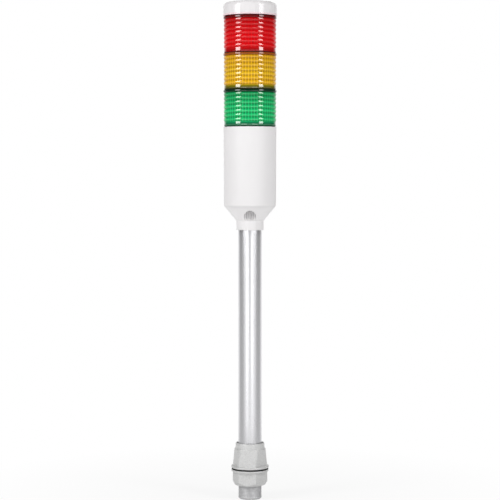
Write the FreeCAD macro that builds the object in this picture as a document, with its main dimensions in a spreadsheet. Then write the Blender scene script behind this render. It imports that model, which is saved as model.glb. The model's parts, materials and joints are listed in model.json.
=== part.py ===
"""Three-tier stack light on a pole, as a parametric FreeCAD document.

Millimetres. The origin is on the axis, in the plane where the foot's gasket seats on a panel.
+Z runs up the pole and the front, with the sound port, faces -Y.
Every driving dimension is a cell of the sheet "sizes" and every sub-part is bound to those cells.
"""
import FreeCAD, Part
import math
import os

import Sketcher

Vector = FreeCAD.Vector
doc = FreeCAD.newDocument("stack_light")
sheet = doc.addObject("Spreadsheet::Sheet", "sizes")


# ---------------------------------------------------------------- sizes


class Size:
    """A number kept together with the sheet expression that gives it."""

    def __init__(self, value, text):
        self.value = value
        self.text = text

    def __add__(self, other):
        other = as_size(other)
        return Size(self.value + other.value, f"({self.text} + {other.text})")

    def __sub__(self, other):
        other = as_size(other)
        return Size(self.value - other.value, f"({self.text} - {other.text})")

    def __mul__(self, other):
        other = as_size(other)
        return Size(self.value * other.value, f"({self.text} * {other.text})")

    def __truediv__(self, other):
        other = as_size(other)
        return Size(self.value / other.value, f"({self.text} / {other.text})")

    def __neg__(self):
        return Size(-self.value, f"(0 - {self.text})")

    def root(self):
        return Size(math.sqrt(self.value), f"sqrt({self.text})")


def as_size(number):
    """A plain number as a Size, so that both can stand in one sum."""
    return number if isinstance(number, Size) else Size(number, repr(number))


def size(name, value, note):
    """One row of the sheet: its name, its value under the same alias, and what it is."""
    row = size.rows = getattr(size, "rows", 0) + 1
    sheet.set(f"A{row}", name)
    sheet.set(f"B{row}", str(value))
    sheet.set(f"C{row}", note)
    sheet.setAlias(f"B{row}", name)
    return Size(value, f"sizes.{name}")


# angles of a hexagon's face from its corner, and of the front from the X axis
face_turn = 30
front_turn = 90

# counts that the drawing loops use
ring_count = 7
led_rows = 3
post_sides = 6
slot_count = 6
terminal_ways = 6
screw_count = 2

# tiers
tier_pitch = size("tier_pitch", 39.0, "height of one tier, joint to joint")
tier_gap = size("tier_gap", 0.8, "open joint above each tier, where the seal lies")
lens_radius = size("lens_radius", 28.0, "crest of the lens rings")
ring_depth = size("ring_depth", 0.8, "crest to valley of the lens rings")
ring_flank = size("ring_flank", 0.35, "share of a ring's pitch that each flank takes")
rim_inset = size("rim_inset", 0.4, "how far the smooth rim lies inside the crests")
rim_height = size("rim_height", 4.7, "smooth rim at the bottom of a lens")
lip_height = size("lip_height", 3.0, "smooth lip at the top of a lens")
lip_overhang = size("lip_overhang", 0.35, "how far the lip stands out past the crests")
skirt_wall = size("skirt_wall", 2.0, "wall of the skirt that takes the spigot below")
skirt_depth = size("skirt_depth", 6.2, "depth of that skirt")
seat_width = size("seat_width", 0.8, "ledge inside a lens for its carrier")
flute_depth = size("flute_depth", 0.6, "prism flutes inside a lens")
flute_width = size("flute_width", 2.4, "width of one flute")
flute_count = size("flute_count", 48, "flutes round a lens")
spigot_wall = size("spigot_wall", 2.0, "wall of the spigot on top of a tier")
spigot_height = size("spigot_height", 4.0, "spigot above the joint")
crown_thickness = size("crown_thickness", 1.7, "ledge between a lens wall and its spigot")
turn_clearance = size("turn_clearance", 0.3, "running gap of the twist lock, all round")
seal_clearance = size("seal_clearance", 0.1, "gap between a seal and the rim above it")
seal_inset = size("seal_inset", 0.7, "how far a seal lies inside the rim")
seal_fit = size("seal_fit", 0.05, "gap between a seal and its spigot")

# twist lock
lug_count = size("lug_count", 3, "lugs round a spigot")
lug_angle = size("lug_angle", 14.0, "angle that one lug covers")
lug_start = size("lug_start", 23.0, "angle where the first lug starts")
lug_reach = size("lug_reach", 0.9, "how far a lug stands out of its spigot")
lug_height = size("lug_height", 1.6, "height of a lug")
lug_level = size("lug_level", 1.6, "underside of a lug above the joint")
lock_turn = size("lock_turn", 20.0, "turn from locked to free")
lock_slack = size("lock_slack", 1.5, "free angle at each end of the turn")

# light source of a tier
carrier_play = size("carrier_play", 0.15, "gap round the carrier's floor")
carrier_floor = size("carrier_floor", 1.6, "thickness of the carrier's floor and head")
post_across = size("post_across", 17.0, "flat to flat of the carrier's hexagonal post")
post_hollow = size("post_hollow", 13.0, "flat to flat of the hollow in the post")
head_radius = size("head_radius", 14.0, "radius of the carrier's contact head")
head_drop = size("head_drop", 2.0, "contact face below the joint")
board_gap = size("board_gap", 1.3, "gap below and above the light boards")
board_width = size("board_width", 8.6, "width of one light board")
board_thickness = size("board_thickness", 1.0, "thickness of one light board")
led_side = size("led_side", 5.0, "side of one square light-emitting diode")
led_thickness = size("led_thickness", 1.6, "thickness of one diode")
contact_circle = size("contact_circle", 10.0, "radius of the circle of contacts")
contact_count = size("contact_count", 4, "contacts of a tier")
pin_turn = size("pin_turn", 45.0, "angle of the first contact pin")
pin_width = size("pin_width", 2.0, "width of a flat contact pin")
pin_thickness = size("pin_thickness", 0.8, "thickness of a contact pin")
pin_tail = size("pin_tail", 1.0, "end of a pin above the carrier's floor")
pin_play = size("pin_play", 0.05, "gap round a contact pin")
pad_width = size("pad_width", 3.0, "radial width of a contact pad")
pad_thickness = size("pad_thickness", 0.4, "thickness of a contact pad")
pad_angle = size("pad_angle", 60.0, "angle that one contact pad covers")
pad_start = size("pad_start", 25.0, "angle where the first pad starts")

# cap
cap_overhang = size("cap_overhang", 1.0, "how far the cap stands out past the lens")
cap_height = size("cap_height", 14.6, "height of the cap")
cap_round = size("cap_round", 5.5, "round of the cap's upper edge")
cap_roof = size("cap_roof", 2.6, "thickness of the cap's roof")

# housing
housing_step = size("housing_step", 0.15, "how far the housing stands out past the lens")
housing_draft = size("housing_draft", 0.35, "taper of the housing on its radius")
housing_height = size("housing_height", 110.0, "height from the neck's end to the top")
housing_round = size("housing_round", 3.0, "round between housing and cone")
cone_height = size("cone_height", 16.1, "height of the cone")
cone_floor = size("cone_floor", 3.8, "upright thickness of the cone's wall")
neck_wall = size("neck_wall", 1.75, "wall round the pole")
neck_height = size("neck_height", 9.8, "height of the neck below the cone")
neck_round = size("neck_round", 1.0, "round between neck and cone")
pole_stop = size("pole_stop", 1.8, "thickness of the ring above the pole's end")
socket_depth = size("socket_depth", 9.2, "depth of the tier socket in the housing")
socket_ledge = size("socket_ledge", 0.6, "ledge that the tier socket sits on")
socket_fit = size("socket_fit", 0.1, "gap round the tier socket")
socket_floor = size("socket_floor", 1.6, "thickness of the tier socket's floor")

# sound port
port_level = size("port_level", 1.1, "bottom of the sound port above the neck")
port_side = size("port_side", 3.7, "straight side of the sound port below its arch")
port_margin = size("port_margin", 0.3, "arch outside the outer slots")
port_back = size("port_back", 0.3, "back of the slots in front of the sleeve")
slot_width = size("slot_width", 1.25, "width of one sound slot")
slot_pitch = size("slot_pitch", 2.2, "slot to slot")

# control unit in the housing
control_width = size("control_width", 34.0, "width of the control board")
control_height = size("control_height", 60.0, "height of the control board")
control_thickness = size("control_thickness", 1.6, "thickness of the control board")
control_front = size("control_front", 1.0, "front face of the control board behind the axis")
buzzer_radius = size("buzzer_radius", 11.5, "radius of the buzzer")
buzzer_thickness = size("buzzer_thickness", 9.0, "thickness of the buzzer")
buzzer_hole = size("buzzer_hole", 2.0, "radius of the buzzer's sound hole")
buzzer_sink = size("buzzer_sink", 2.2, "depth of the sound hole")
relay_width = size("relay_width", 14.2, "width of the relay")
relay_height = size("relay_height", 14.4, "height of the relay")
relay_depth = size("relay_depth", 10.0, "how far the relay stands out of the board")
relay_shift = size("relay_shift", -6.5, "middle of the relay beside the axis")
relay_level = size("relay_level", 46.8, "middle of relay and driver above the board's lower edge")
driver_width = size("driver_width", 9.5, "width of the driver chip")
driver_height = size("driver_height", 9.6, "height of the driver chip")
driver_depth = size("driver_depth", 3.0, "how far the driver chip stands out of the board")
driver_shift = size("driver_shift", 8.8, "middle of the driver chip beside the axis")
terminal_width = size("terminal_width", 30.0, "width of the terminal block")
terminal_height = size("terminal_height", 10.0, "height of the terminal block")
terminal_depth = size("terminal_depth", 9.0, "depth of the terminal block")
terminal_entry = size("terminal_entry", 3.2, "side of one wire entry")
terminal_sink = size("terminal_sink", 7.0, "depth of one wire entry")

# pole
pole_radius = size("pole_radius", 12.7, "radius of the pole")
pole_wall = size("pole_wall", 1.5, "wall of the pole")
pole_length = size("pole_length", 263.4, "length of the pole")
pole_edge = size("pole_edge", 0.3, "chamfer of the pole's ends")
pole_fit = size("pole_fit", 0.1, "gap round the pole in its sockets")
pole_cover = size("pole_cover", 17.6, "length of the pole inside the housing")
pole_play = size("pole_play", 0.3, "gap above the pole's end")

# foot
gasket_thickness = size("gasket_thickness", 1.8, "gasket between foot and panel")
gasket_inset = size("gasket_inset", 0.5, "gasket inside the flange's edge")
flange_radius = size("flange_radius", 20.2, "radius of the foot's flange")
flange_thickness = size("flange_thickness", 2.2, "thickness of the flange")
flange_edge = size("flange_edge", 0.4, "chamfer of the flange")
taper_height = size("taper_height", 18.5, "height of the taper above the flange")
taper_flare = size("taper_flare", 1.35, "flange's edge to the taper's foot")
taper_step = size("taper_step", 0.9, "taper's top outside the collar")
foot_across = size("foot_across", 32.7, "flat to flat of the foot's spanner faces")
hex_turn = size("hex_turn", -11.0, "angle of the first corner of both hexagons")
collar_height = size("collar_height", 6.3, "height of the collar")
collar_wall = size("collar_wall", 2.7, "collar outside the pole")
collar_draft = size("collar_draft", 0.3, "taper of the collar on its radius")
collar_round = size("collar_round", 0.8, "round of the collar's upper edge")
recess_gap = size("recess_gap", 1.1, "open recess round the pole at the collar's top")
recess_depth = size("recess_depth", 1.8, "depth of that recess")
foot_socket = size("foot_socket", 16.8, "depth of the pole's socket in the foot")
stub_radius = size("stub_radius", 12.5, "major radius of the stub's thread")
stub_length = size("stub_length", 31.8, "length of the stub below the panel seat")
stub_edge = size("stub_edge", 1.2, "chamfer of the stub's end")
cable_bore = size("cable_bore", 8.5, "radius of the cable bore")
screw_radius = size("screw_radius", 2.0, "radius of a set screw")
screw_level = size("screw_level", 4.5, "set screws above the socket's floor")
screw_play = size("screw_play", 0.05, "gap round and before a set screw")
screw_sink = size("screw_sink", 0.5, "set screw inside its spanner face")
screw_spread = size("screw_spread", 120.0, "angle between the set screws")
key_across = size("key_across", 2.0, "flat to flat of the set screw's key socket")
key_depth = size("key_depth", 1.8, "depth of the key socket")

# clamp below the panel
washer_radius = size("washer_radius", 20.0, "radius of the washer")
washer_thickness = size("washer_thickness", 2.0, "thickness of the washer")
washer_edge = size("washer_edge", 0.4, "chamfer of the washer's lower edge")
washer_play = size("washer_play", 0.3, "gap between washer and stub")
nut_across = size("nut_across", 33.0, "flat to flat of the lock nut")
nut_height = size("nut_height", 14.7, "height of the lock nut")
nut_chamfer = size("nut_chamfer", 4.0, "height of the chamfer on the nut's corners")
nut_face = size("nut_face", 0.3, "chamfer's circle inside the flats on the lower face")
nut_play = size("nut_play", 0.1, "gap between nut and the thread's crests")

# sizes worked out from those above
rim_radius = lens_radius - rim_inset
skirt_bore = rim_radius - skirt_wall
spigot_radius = skirt_bore - turn_clearance
spigot_bore = spigot_radius - spigot_wall
lens_bore = skirt_bore - seat_width
lug_radius = spigot_radius + lug_reach
lock_radius = lug_radius + turn_clearance
tier_height = tier_pitch - tier_gap
contact_level = tier_pitch - head_drop

flange_top = gasket_thickness + flange_thickness
taper_top = flange_top + taper_height
collar_top = taper_top + collar_height
pole_bottom = collar_top - foot_socket
housing_bottom = pole_bottom + pole_length - pole_cover
stack_bottom = housing_bottom + housing_height + tier_gap
neck_radius = pole_radius + pole_fit + neck_wall
housing_radius = lens_radius + housing_step
socket_radius = skirt_bore
socket_recess = socket_radius + socket_fit
socket_face = stack_bottom - head_drop
control_bottom = socket_face - socket_floor - control_height
screw_turn = hex_turn + face_turn + front_turn

doc.recompute()


# ---------------------------------------------------------------- building blocks


def bind(item, path, value):
    """Ties a property to the sheet."""
    item.setExpression(path, as_size(value).text)


def origin_of(body, role):
    """One of the body's own origin planes or axes."""
    return [feature for feature in body.Origin.OriginFeatures if feature.Role == role][0]


def new_body(name, level=0, turn=None):
    """An empty sub-part at a height on the axis, turned about it where an angle is given."""
    body = doc.addObject("PartDesign::Body", name)
    body.Label = name
    if turn is not None:
        body.Placement = FreeCAD.Placement(Vector(), FreeCAD.Rotation(Vector(0, 0, 1), turn.value))
        bind(body, "Placement.Rotation.Angle", turn)
    bind(body, "Placement.Base.z", level)
    return body


def new_sketch(body, name, plane, lift=None, turn=None, tilt=None):
    """A sketch on an origin plane: lifted along its normal, turned about it, or swung about its own Y."""
    sketch = body.newObject("Sketcher::SketchObject", name)
    sketch.AttachmentSupport = (origin_of(body, plane), [""])
    sketch.MapMode = "FlatFace"
    axis = Vector(0, 1, 0) if tilt is not None else Vector(0, 0, 1)
    angle = as_size(tilt if tilt is not None else turn or 0)
    distance = as_size(lift or 0)
    rotation = FreeCAD.Rotation(axis, angle.value)
    sketch.AttachmentOffset = FreeCAD.Placement(Vector(0, 0, distance.value), rotation)
    if angle.value:
        bind(sketch, "AttachmentOffset.Rotation.Angle", angle)
    if distance.value:
        bind(sketch, "AttachmentOffset.Base.z", distance)
    return sketch


def draw_outline(sketch, corners):
    """A closed outline through corners."""
    count = len(corners)
    first = sketch.GeometryCount
    spots = [Vector(as_size(x).value, as_size(y).value, 0) for x, y in corners]
    edges = [Part.LineSegment(spots[number - 1], spots[number]) for number in range(count)]
    sketch.addGeometry(edges, False)
    rules = []
    for number in range(count):
        follower = first + (number + 1) % count
        rules.append(Sketcher.Constraint("Coincident", first + number, 2, follower, 1))
    sketch.addConstraint(rules)
    for number, corner in enumerate(corners):
        for kind, part in (("DistanceX", as_size(corner[0])), ("DistanceY", as_size(corner[1]))):
            rule = Sketcher.Constraint(kind, -1, 1, first + number, 2, part.value)
            index = sketch.addConstraint(rule)
            bind(sketch, f"Constraints[{index}]", part)


def draw_circle(sketch, across, up, radius):
    """A circle whose centre and radius are tied to the sheet."""
    across, up, radius = as_size(across), as_size(up), as_size(radius)
    centre = Vector(across.value, up.value, 0)
    number = sketch.addGeometry(Part.Circle(centre, Vector(0, 0, 1), radius.value), False)
    rules = (
        (Sketcher.Constraint("DistanceX", -1, 1, number, 3, across.value), across),
        (Sketcher.Constraint("DistanceY", -1, 1, number, 3, up.value), up),
        (Sketcher.Constraint("Radius", number, radius.value), radius),
    )
    for rule, value in rules:
        index = sketch.addConstraint(rule)
        bind(sketch, f"Constraints[{index}]", value)


def draw_rectangle(sketch, left, right, low, high):
    """A rectangle from its four sides."""
    draw_outline(sketch, [(left, low), (right, low), (right, high), (left, high)])


def draw_hexagon(sketch, across):
    """A hexagon from its width across flats, with its first corner on the sketch's X axis."""
    corner = across / math.sqrt(3)
    angles = [math.radians(60 * number) for number in range(6)]
    draw_outline(sketch, [(corner * math.cos(a), corner * math.sin(a)) for a in angles])


def settle(feature):
    """Recomputes and hands the feature back."""
    doc.recompute()
    return feature


def revolve(body, sketch, kind="Revolution", angle=None):
    """Turns a sketch about the body's axis, all round or through an angle."""
    feature = body.newObject(f"PartDesign::{kind}", f"{sketch.Name}_{kind.lower()}")
    feature.Profile = sketch
    feature.ReferenceAxis = (sketch, ["V_Axis"])
    feature.Angle = 360 if angle is None else angle.value
    if angle is not None:
        bind(feature, "Angle", angle)
    return settle(feature)


def extrude(body, sketch, length, kind="Pad", backwards=False):
    """Pads or pockets a sketch by a length."""
    length = as_size(length)
    feature = body.newObject(f"PartDesign::{kind}", f"{sketch.Name}_{kind.lower()}")
    feature.Profile = sketch
    feature.Length = length.value
    bind(feature, "Length", length)
    feature.Reversed = backwards
    return settle(feature)


def repeat_round(body, features, count, angle=None):
    """Repeats features about the axis."""
    pattern = body.newObject("PartDesign::PolarPattern", f"{features[0].Name}_round")
    pattern.Originals = features
    pattern.Axis = (origin_of(body, "Z_Axis"), [""])
    pattern.Occurrences = int(as_size(count).value)
    bind(pattern, "Occurrences", count)
    pattern.Angle = 360 if angle is None else angle.value
    if angle is not None:
        bind(pattern, "Angle", angle)
    body.Tip = pattern
    return settle(pattern)


def round_rings(body, name, places, radius):
    """Fillets the circular edges that lie at the given radii and heights of the body."""
    base = body.Tip
    wanted = [(as_size(r).value, as_size(z).value) for r, z in places]
    edges = []
    for number, edge in enumerate(base.Shape.Edges, start=1):
        if edge.Degenerated or not isinstance(edge.Curve, Part.Circle):
            continue
        found = (edge.Curve.Radius, edge.Curve.Center.z)
        if any(math.dist(found, spot) < 0.01 for spot in wanted):
            edges.append(f"Edge{number}")
    fillet = body.newObject("PartDesign::Fillet", name)
    fillet.Base = (base, edges)
    fillet.Radius = radius.value
    bind(fillet, "Radius", radius)
    return settle(fillet)


# ---------------------------------------------------------------- twist lock


def add_lugs(body, joint):
    """Lugs round the spigot; joint is the height of the tier joint in the body."""
    sketch = new_sketch(body, "lug", "XZ_Plane", tilt=lug_start)
    low = joint + lug_level
    inside = spigot_radius - spigot_wall / 2
    draw_rectangle(sketch, inside, lug_radius, low, low + lug_height)
    lug = revolve(body, sketch, angle=lug_angle)
    repeat_round(body, [lug], lug_count)


def cut_lock(body):
    """Grooves in a skirt for the lugs of the spigot below, and the slots that let the lugs in."""
    low = lug_level - turn_clearance
    inside = spigot_radius - spigot_wall / 2
    entry_start = lug_start - lock_turn - lock_slack
    entry = new_sketch(body, "lock_entry", "XZ_Plane", tilt=entry_start)
    draw_rectangle(entry, inside, lock_radius, -tier_gap, low + lug_height)
    slot = revolve(body, entry, "Groove", lug_angle + lock_slack * 2)
    repeat_round(body, [slot], lug_count)
    track = new_sketch(body, "lock_track", "XZ_Plane", tilt=entry_start)
    draw_rectangle(track, inside, lock_radius, low, low + lug_height + turn_clearance * 2)
    groove = revolve(body, track, "Groove", lock_turn + lug_angle + lock_slack * 2)
    repeat_round(body, [groove], lug_count)


# ---------------------------------------------------------------- a tier


def ring_corners():
    """The lens wall's outer side between rim and lip: each ring is a flank, a crest and a flank."""
    pitch = (tier_height - rim_height - lip_height) / ring_count
    valley = lens_radius - ring_depth
    corners = []
    for number in range(ring_count):
        low = rim_height + pitch * number
        crest = (low + pitch * ring_flank, low + pitch - pitch * ring_flank)
        corners += [(valley, low), (lens_radius, crest[0]), (lens_radius, crest[1])]
    corners.append((valley, tier_height - lip_height))
    return corners


def make_lens(name, level):
    """A moulded lens: rings outside, prism flutes inside, skirt below and spigot above."""
    body = new_body(name, level)
    lip_radius = lens_radius + lip_overhang
    ceiling = tier_height - crown_thickness
    corners = [(skirt_bore, 0), (rim_radius, 0), (rim_radius, rim_height)]
    corners += ring_corners()
    corners += [(lip_radius, tier_height - lip_height), (lip_radius, tier_height)]
    corners += [(spigot_radius, tier_height), (spigot_radius, tier_pitch + spigot_height)]
    corners += [(spigot_bore, tier_pitch + spigot_height), (spigot_bore, ceiling)]
    corners += [(lens_bore, ceiling), (lens_bore, skirt_depth), (skirt_bore, skirt_depth)]
    wall = new_sketch(body, "wall", "XZ_Plane")
    draw_outline(wall, corners)
    revolve(body, wall)
    flute = new_sketch(body, "flute", "XY_Plane", lift=skirt_depth)
    inside = lens_bore - flute_depth
    half = flute_width / 2
    draw_outline(flute, [(inside, -half), (lens_bore + flute_depth, 0), (inside, half)])
    groove = extrude(body, flute, ceiling - skirt_depth, "Pocket", backwards=True)
    repeat_round(body, [groove], flute_count)
    add_lugs(body, tier_pitch)
    cut_lock(body)
    return body


def make_seal(name, joint):
    """A flat seal in the joint below a tier; joint is the height of that joint."""
    body = new_body(name, joint - tier_gap)
    ring = new_sketch(body, "ring", "XY_Plane")
    draw_circle(ring, 0, 0, spigot_radius + seal_fit)
    draw_circle(ring, 0, 0, rim_radius - seal_inset)
    extrude(body, ring, tier_gap - seal_clearance)
    return body


def draw_pin(sketch, play):
    """The section of a contact pin, or of its hole with some play."""
    thick = pin_thickness / 2 + play
    wide = pin_width / 2 + play
    draw_rectangle(sketch, contact_circle - thick, contact_circle + thick, -wide, wide)


def make_carrier(name, level):
    """The light source's carrier: floor, hollow hexagonal post and contact head, one moulding."""
    body = new_body(name, level)
    floor_level = skirt_depth - carrier_floor
    floor = new_sketch(body, "floor", "XY_Plane", lift=floor_level)
    draw_circle(floor, 0, 0, skirt_bore - carrier_play)
    extrude(body, floor, carrier_floor)
    post = new_sketch(body, "post", "XY_Plane", lift=floor_level)
    draw_hexagon(post, post_across)
    extrude(body, post, contact_level - floor_level)
    head = new_sketch(body, "head", "XY_Plane", lift=contact_level - carrier_floor)
    draw_circle(head, 0, 0, head_radius)
    extrude(body, head, carrier_floor)
    hollow = new_sketch(body, "hollow", "XY_Plane", lift=floor_level)
    draw_hexagon(hollow, post_hollow)
    extrude(body, hollow, contact_level - carrier_floor - floor_level, "Pocket", backwards=True)
    hole = new_sketch(body, "pin_hole", "XY_Plane", lift=floor_level, turn=pin_turn)
    draw_pin(hole, pin_play)
    drilled = extrude(body, hole, carrier_floor, "Pocket", backwards=True)
    repeat_round(body, [drilled], contact_count)
    return body


def board_span():
    """Lower and upper end of the light boards in a tier."""
    return skirt_depth + board_gap, contact_level - carrier_floor - board_gap


def make_light_boards(name, level):
    """Six narrow boards, one on each flat of the post."""
    body = new_body(name, level)
    low, high = board_span()
    board = new_sketch(body, "board", "XZ_Plane", lift=post_across / 2)
    draw_rectangle(board, -board_width / 2, board_width / 2, low, high)
    repeat_round(body, [extrude(body, board, board_thickness)], post_sides)
    return body


def make_leds(name, level):
    """Rows of square diodes on the six boards."""
    body = new_body(name, level)
    low, high = board_span()
    diodes = new_sketch(body, "diode", "XZ_Plane", lift=post_across / 2 + board_thickness)
    half = led_side / 2
    for row in range(led_rows):
        middle = low + (high - low) * ((row + 0.5) / led_rows)
        draw_rectangle(diodes, -half, half, middle - half, middle + half)
    repeat_round(body, [extrude(body, diodes, led_thickness)], post_sides)
    return body


def make_contact_pins(name, level):
    """Flat pins that reach down from a tier to the pads of the one below."""
    body = new_body(name, level)
    low = pad_thickness + turn_clearance - head_drop
    pin = new_sketch(body, "pin", "XY_Plane", lift=low, turn=pin_turn)
    draw_pin(pin, 0)
    repeat_round(body, [extrude(body, pin, skirt_depth + pin_tail - low)], contact_count)
    return body


def make_contact_pads(name, face):
    """Arc-shaped pads, long enough for the pins to stay on them while a tier turns."""
    body = new_body(name, face)
    pad = new_sketch(body, "pad", "XZ_Plane", tilt=pad_start)
    half = pad_width / 2
    draw_rectangle(pad, contact_circle - half, contact_circle + half, 0, pad_thickness)
    repeat_round(body, [revolve(body, pad, angle=pad_angle)], contact_count)
    return body


def make_tier(colour, number):
    """All the pieces of one tier, and the seal on top of it."""
    level = stack_bottom + tier_pitch * number
    upper = ("amber", "red", "cap")[number]
    return [
        make_lens(f"lens_{colour}", level),
        make_carrier(f"led_carrier_{colour}", level),
        make_light_boards(f"led_boards_{colour}", level),
        make_leds(f"leds_{colour}", level),
        make_contact_pins(f"contact_pins_{colour}", level),
        make_contact_pads(f"contact_pads_{colour}", level + contact_level),
        make_seal(f"seal_{upper}", level + tier_pitch),
    ]


# ---------------------------------------------------------------- cap and housing


def make_cap():
    """The closed cap, with the skirt of a tier."""
    body = new_body("head_cap", stack_bottom + tier_pitch * 3)
    radius = lens_radius + cap_overhang
    ceiling = cap_height - cap_roof
    wall = new_sketch(body, "wall", "XZ_Plane")
    corners = [(skirt_bore, 0), (radius, 0), (radius, cap_height), (0, cap_height)]
    corners += [(0, ceiling), (skirt_bore, ceiling)]
    draw_outline(wall, corners)
    revolve(body, wall)
    round_rings(body, "roof_round", [(radius, cap_height)], cap_round)
    cut_lock(body)
    return body


def make_housing():
    """The moulded housing: neck and sleeve for the pole, cone with the sound port, drafted wall."""
    body = new_body("main_housing", housing_bottom)
    bore = pole_radius + pole_fit
    edge = pole_edge
    foot_radius = housing_radius - housing_draft
    cone_top = neck_height + cone_height
    cavity = socket_recess - socket_ledge
    slope = cone_height / (foot_radius - neck_radius)
    cone_inside = neck_height + cone_floor
    stop = pole_cover + pole_play
    corners = [(bore, 0), (neck_radius - edge, 0), (neck_radius, edge), (neck_radius, neck_height)]
    corners += [(foot_radius, cone_top), (housing_radius, housing_height)]
    corners += [(socket_recess, housing_height), (socket_recess, housing_height - socket_depth)]
    corners += [(cavity, housing_height - socket_depth)]
    corners += [(cavity, cone_inside + (cavity - neck_radius) * slope), (neck_radius, cone_inside)]
    corners += [(neck_radius, stop + pole_stop), (bore - pole_wall, stop + pole_stop)]
    corners += [(bore - pole_wall, stop), (bore, stop)]
    wall = new_sketch(body, "wall", "XZ_Plane")
    draw_outline(wall, corners)
    revolve(body, wall)
    round_rings(body, "cone_round", [(foot_radius, cone_top)], housing_round)
    round_rings(body, "neck_round", [(neck_radius, neck_height)], neck_round)
    slots = new_sketch(body, "sound_slots", "XZ_Plane", lift=neck_radius + port_back)
    low = neck_height + port_level
    centre = low + port_side
    radius = slot_pitch * ((slot_count - 1) / 2) + slot_width / 2 + port_margin
    for number in range(slot_count):
        middle = slot_pitch * (number - (slot_count - 1) / 2)
        left = middle - slot_width / 2
        right = middle + slot_width / 2
        tops = [centre + (radius * radius - x * x).root() for x in (left, right)]
        draw_outline(slots, [(left, low), (right, low), (right, tops[1]), (left, tops[0])])
    extrude(body, slots, foot_radius, "Pocket", backwards=True)
    return body


def make_tier_socket():
    """The ring that closes the housing, with a contact floor and the first tier's spigot."""
    bottom = stack_bottom - tier_gap - socket_depth
    body = new_body("tier_socket", bottom)
    joint = socket_depth + tier_gap
    face = joint - head_drop
    top = joint + spigot_height
    lower_bore = socket_radius - spigot_wall
    wall = new_sketch(body, "wall", "XZ_Plane")
    corners = [(lower_bore, 0), (socket_radius, 0), (socket_radius, socket_depth)]
    corners += [(spigot_radius, socket_depth), (spigot_radius, top), (spigot_bore, top)]
    corners += [(spigot_bore, face), (0, face), (0, face - socket_floor)]
    corners += [(lower_bore, face - socket_floor)]
    draw_outline(wall, corners)
    revolve(body, wall)
    add_lugs(body, joint)
    return body


def make_control_board():
    """The board that hangs under the tier socket, with the larger parts that it carries."""
    body = new_body("control_board", control_bottom)
    board = new_sketch(body, "board", "XZ_Plane", lift=-(control_front + control_thickness))
    half = control_width / 2
    draw_rectangle(board, -half, half, 0, control_height)
    extrude(body, board, control_thickness)
    for name, middle, width, height, depth in (
        ("relay", relay_shift, relay_width, relay_height, relay_depth),
        ("driver", driver_shift, driver_width, driver_height, driver_depth),
    ):
        block = new_sketch(body, name, "XZ_Plane", lift=-control_front)
        sides = (middle - width / 2, middle + width / 2)
        draw_rectangle(block, *sides, relay_level - height / 2, relay_level + height / 2)
        extrude(body, block, depth)
    return body


def make_buzzer():
    """The buzzer on the board's front, with its sound hole."""
    body = new_body("buzzer", control_bottom)
    disc = new_sketch(body, "disc", "XZ_Plane", lift=-control_front)
    draw_circle(disc, 0, buzzer_radius, buzzer_radius)
    extrude(body, disc, buzzer_thickness)
    hole = new_sketch(body, "hole", "XZ_Plane", lift=buzzer_thickness - control_front)
    draw_circle(hole, 0, buzzer_radius, buzzer_hole)
    extrude(body, hole, buzzer_sink, "Pocket")
    return body


def make_terminal_block():
    """The terminal block on the board's back, with its wire entries open downwards."""
    body = new_body("terminal_block", control_bottom)
    back = control_front + control_thickness
    block = new_sketch(body, "block", "XY_Plane")
    left = -terminal_width / 2
    draw_rectangle(block, left, -left, back, back + terminal_depth)
    extrude(body, block, terminal_height)
    entries = new_sketch(body, "entries", "XY_Plane")
    pitch = terminal_width / terminal_ways
    middle = back + terminal_depth / 2
    half = terminal_entry / 2
    for number in range(terminal_ways):
        centre = left + pitch * (number + 0.5)
        draw_rectangle(entries, centre - half, centre + half, middle - half, middle + half)
    extrude(body, entries, terminal_sink, "Pocket", backwards=True)
    return body


# ---------------------------------------------------------------- pole, foot and clamp


def make_pole():
    """The drawn tube, with broken edges."""
    body = new_body("pole", pole_bottom)
    bore = pole_radius - pole_wall
    wall = new_sketch(body, "wall", "XZ_Plane")
    corners = [(bore, 0), (pole_radius - pole_edge, 0), (pole_radius, pole_edge)]
    corners += [(pole_radius, pole_length - pole_edge), (pole_radius - pole_edge, pole_length)]
    corners += [(bore, pole_length)]
    draw_outline(wall, corners)
    revolve(body, wall)
    return body


def make_foot():
    """The cast foot: collar, taper with spanner faces, flange and hollow stub in one casting."""
    body = new_body("pole_base", -stub_length)
    seat = stub_length
    socket = pole_radius + pole_fit
    recess = pole_radius + pole_fit + recess_gap
    collar = pole_radius + collar_wall
    taper_foot = flange_radius - taper_flare
    under = seat + gasket_thickness
    top = seat + collar_top
    corners = [(cable_bore, 0), (stub_radius - stub_edge, 0), (stub_radius, stub_edge)]
    corners += [(stub_radius, under), (flange_radius - flange_edge, under)]
    corners += [(flange_radius, under + flange_edge)]
    corners += [(flange_radius, seat + flange_top - flange_edge)]
    corners += [(flange_radius - flange_edge, seat + flange_top), (taper_foot, seat + flange_top)]
    corners += [(collar + collar_draft + taper_step, seat + taper_top)]
    corners += [(collar + collar_draft, seat + taper_top), (collar, top)]
    corners += [(recess, top), (recess, top - recess_depth), (socket, top - recess_depth)]
    corners += [(socket, seat + pole_bottom), (cable_bore, seat + pole_bottom)]
    wall = new_sketch(body, "wall", "XZ_Plane")
    draw_outline(wall, corners)
    revolve(body, wall)
    round_rings(body, "collar_round", [(collar, top)], collar_round)
    faces = new_sketch(body, "spanner_faces", "XY_Plane", lift=seat + flange_top, turn=hex_turn)
    draw_hexagon(faces, foot_across)
    draw_circle(faces, 0, 0, flange_radius)
    extrude(body, faces, taper_height, "Pocket", backwards=True)
    hole = new_sketch(body, "screw_hole", "XZ_Plane", tilt=screw_turn)
    draw_circle(hole, 0, seat + pole_bottom + screw_level, screw_radius + screw_play)
    drilled = extrude(body, hole, flange_radius, "Pocket", backwards=True)
    repeat_round(body, [drilled], screw_count, screw_spread)
    return body


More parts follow.
